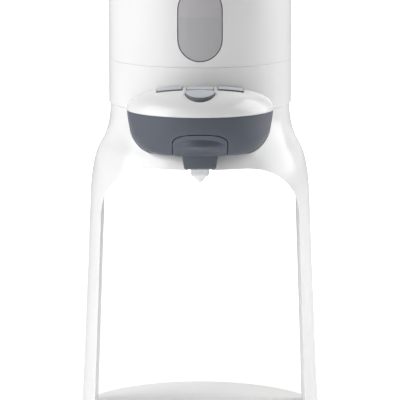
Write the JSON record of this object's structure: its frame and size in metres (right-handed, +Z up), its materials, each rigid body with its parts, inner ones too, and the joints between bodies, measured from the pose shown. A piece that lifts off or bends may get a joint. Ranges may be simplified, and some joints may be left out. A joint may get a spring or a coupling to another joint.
{
  "type": "baby formula maker",
  "caption": "Countertop baby formula maker: a round water tank and heater over a sliding powder drawer with a spout, on an arched stand with a round base.",
  "frame": {"origin": "middle of the underside of the feet, on the machine's vertical axis", "axes": "+Z up, the nose, keys and drawer face -Y, +X to the right as seen from the front"},
  "size_m": [0.18, 0.18, 0.3316],
  "materials": {
    "white_shell": "gloss moulded ABS",
    "white_liner": "satin moulded ABS",
    "slate_plastic": "satin moulded ABS",
    "key_grey": "satin keycap plastic",
    "window_grey": "smoked translucent acrylic",
    "clear_plastic": "clear food-grade plastic",
    "nozzle_clear": "frosted translucent plastic",
    "silicone": "translucent silicone",
    "foot_rubber": "matte rubber",
    "steel": "zinc-plated steel",
    "heater_metal": "cast aluminium",
    "circuit_board": "solder-masked board",
    "black_plastic": "moulded engineering plastic"
  },
  "bodies": {
    "machine": {"base_disc": "white_shell", "base_plate": "black_plastic", "base_screw_1": "steel", "base_screw_2": "steel", "base_screw_3": "steel", "base_screw_4": "steel", "foot_1": "foot_rubber", "foot_2": "foot_rubber", "foot_3": "foot_rubber", "foot_4": "foot_rubber", "ballast_ring": "steel", "leg_anchor_left": "steel", "leg_anchor_right": "steel", "leg_screw_left_front": "steel", "leg_screw_left_back": "steel", "leg_screw_right_front": "steel", "leg_screw_right_back": "steel", "stand_shell": "white_shell", "arch_liner": "white_liner", "deck_screw_left": "steel", "deck_screw_right": "steel", "cord_gland": "foot_rubber", "lower_housing": "white_shell", "upper_housing": "white_shell", "window_lens": "window_grey", "water_tank": "clear_plastic", "tank_outlet_grommet": "silicone", "top_ring": "white_shell", "hinge_pin": "steel", "control_nose": "white_shell", "nose_floor": "white_shell", "control_board": "circuit_board", "switch_left": "black_plastic", "switch_right": "black_plastic", "switch_select": "black_plastic", "switch_start": "black_plastic", "drawer_guide_left": "white_liner", "drawer_guide_right": "white_liner", "chassis_deck": "white_liner", "water_outlet_head": "clear_plastic", "pump": "black_plastic", "flow_heater": "heater_metal", "temperature_sensor": "black_plastic", "power_board": "circuit_board", "hose_tank_to_pump": "silicone", "hose_pump_to_heater": "silicone", "hose_heater_to_outlet": "silicone"},
    "tank_lid": {"lid": "white_shell", "lid_seal": "silicone"},
    "powder_drawer": {"drawer_front": "slate_plastic", "drawer_tray": "clear_plastic"},
    "spout": {"spout_handle": "slate_plastic", "spout_nozzle": "nozzle_clear", "nozzle_seal": "silicone"},
    "left_key": {"key_left": "key_grey"},
    "right_key": {"key_right": "key_grey"},
    "select_key": {"key_select": "key_grey"},
    "start_key": {"key_start": "key_grey"}
  },
  "joints": [
    {"name": "lid_hinge", "type": "hinge", "parent": "machine", "child": "tank_lid", "pos_m": [0, 0.0525, 0.3263], "axis": [-1, 0, 0], "range_deg": [0, 95]},
    {"name": "drawer_slide", "type": "slide", "parent": "machine", "child": "powder_drawer", "axis": [0, -1, 0], "range_m": [0, 0.05]},
    {"name": "spout_slide", "type": "slide", "parent": "powder_drawer", "child": "spout", "axis": [0, -1, 0], "range_m": [0, 0.025]},
    {"name": "left_key_press", "type": "slide", "parent": "machine", "child": "left_key", "axis": [0, 0, -1], "range_m": [0, 0.0006], "stiffness_N_per_m": 300},
    {"name": "right_key_press", "type": "slide", "parent": "machine", "child": "right_key", "axis": [0, 0, -1], "range_m": [0, 0.0006], "stiffness_N_per_m": 300},
    {"name": "select_key_press", "type": "slide", "parent": "machine", "child": "select_key", "axis": [0, 0, -1], "range_m": [0, 0.0006], "stiffness_N_per_m": 300},
    {"name": "start_key_press", "type": "slide", "parent": "machine", "child": "start_key", "axis": [0, 0, -1], "range_m": [0, 0.0006], "stiffness_N_per_m": 300}
  ]
}
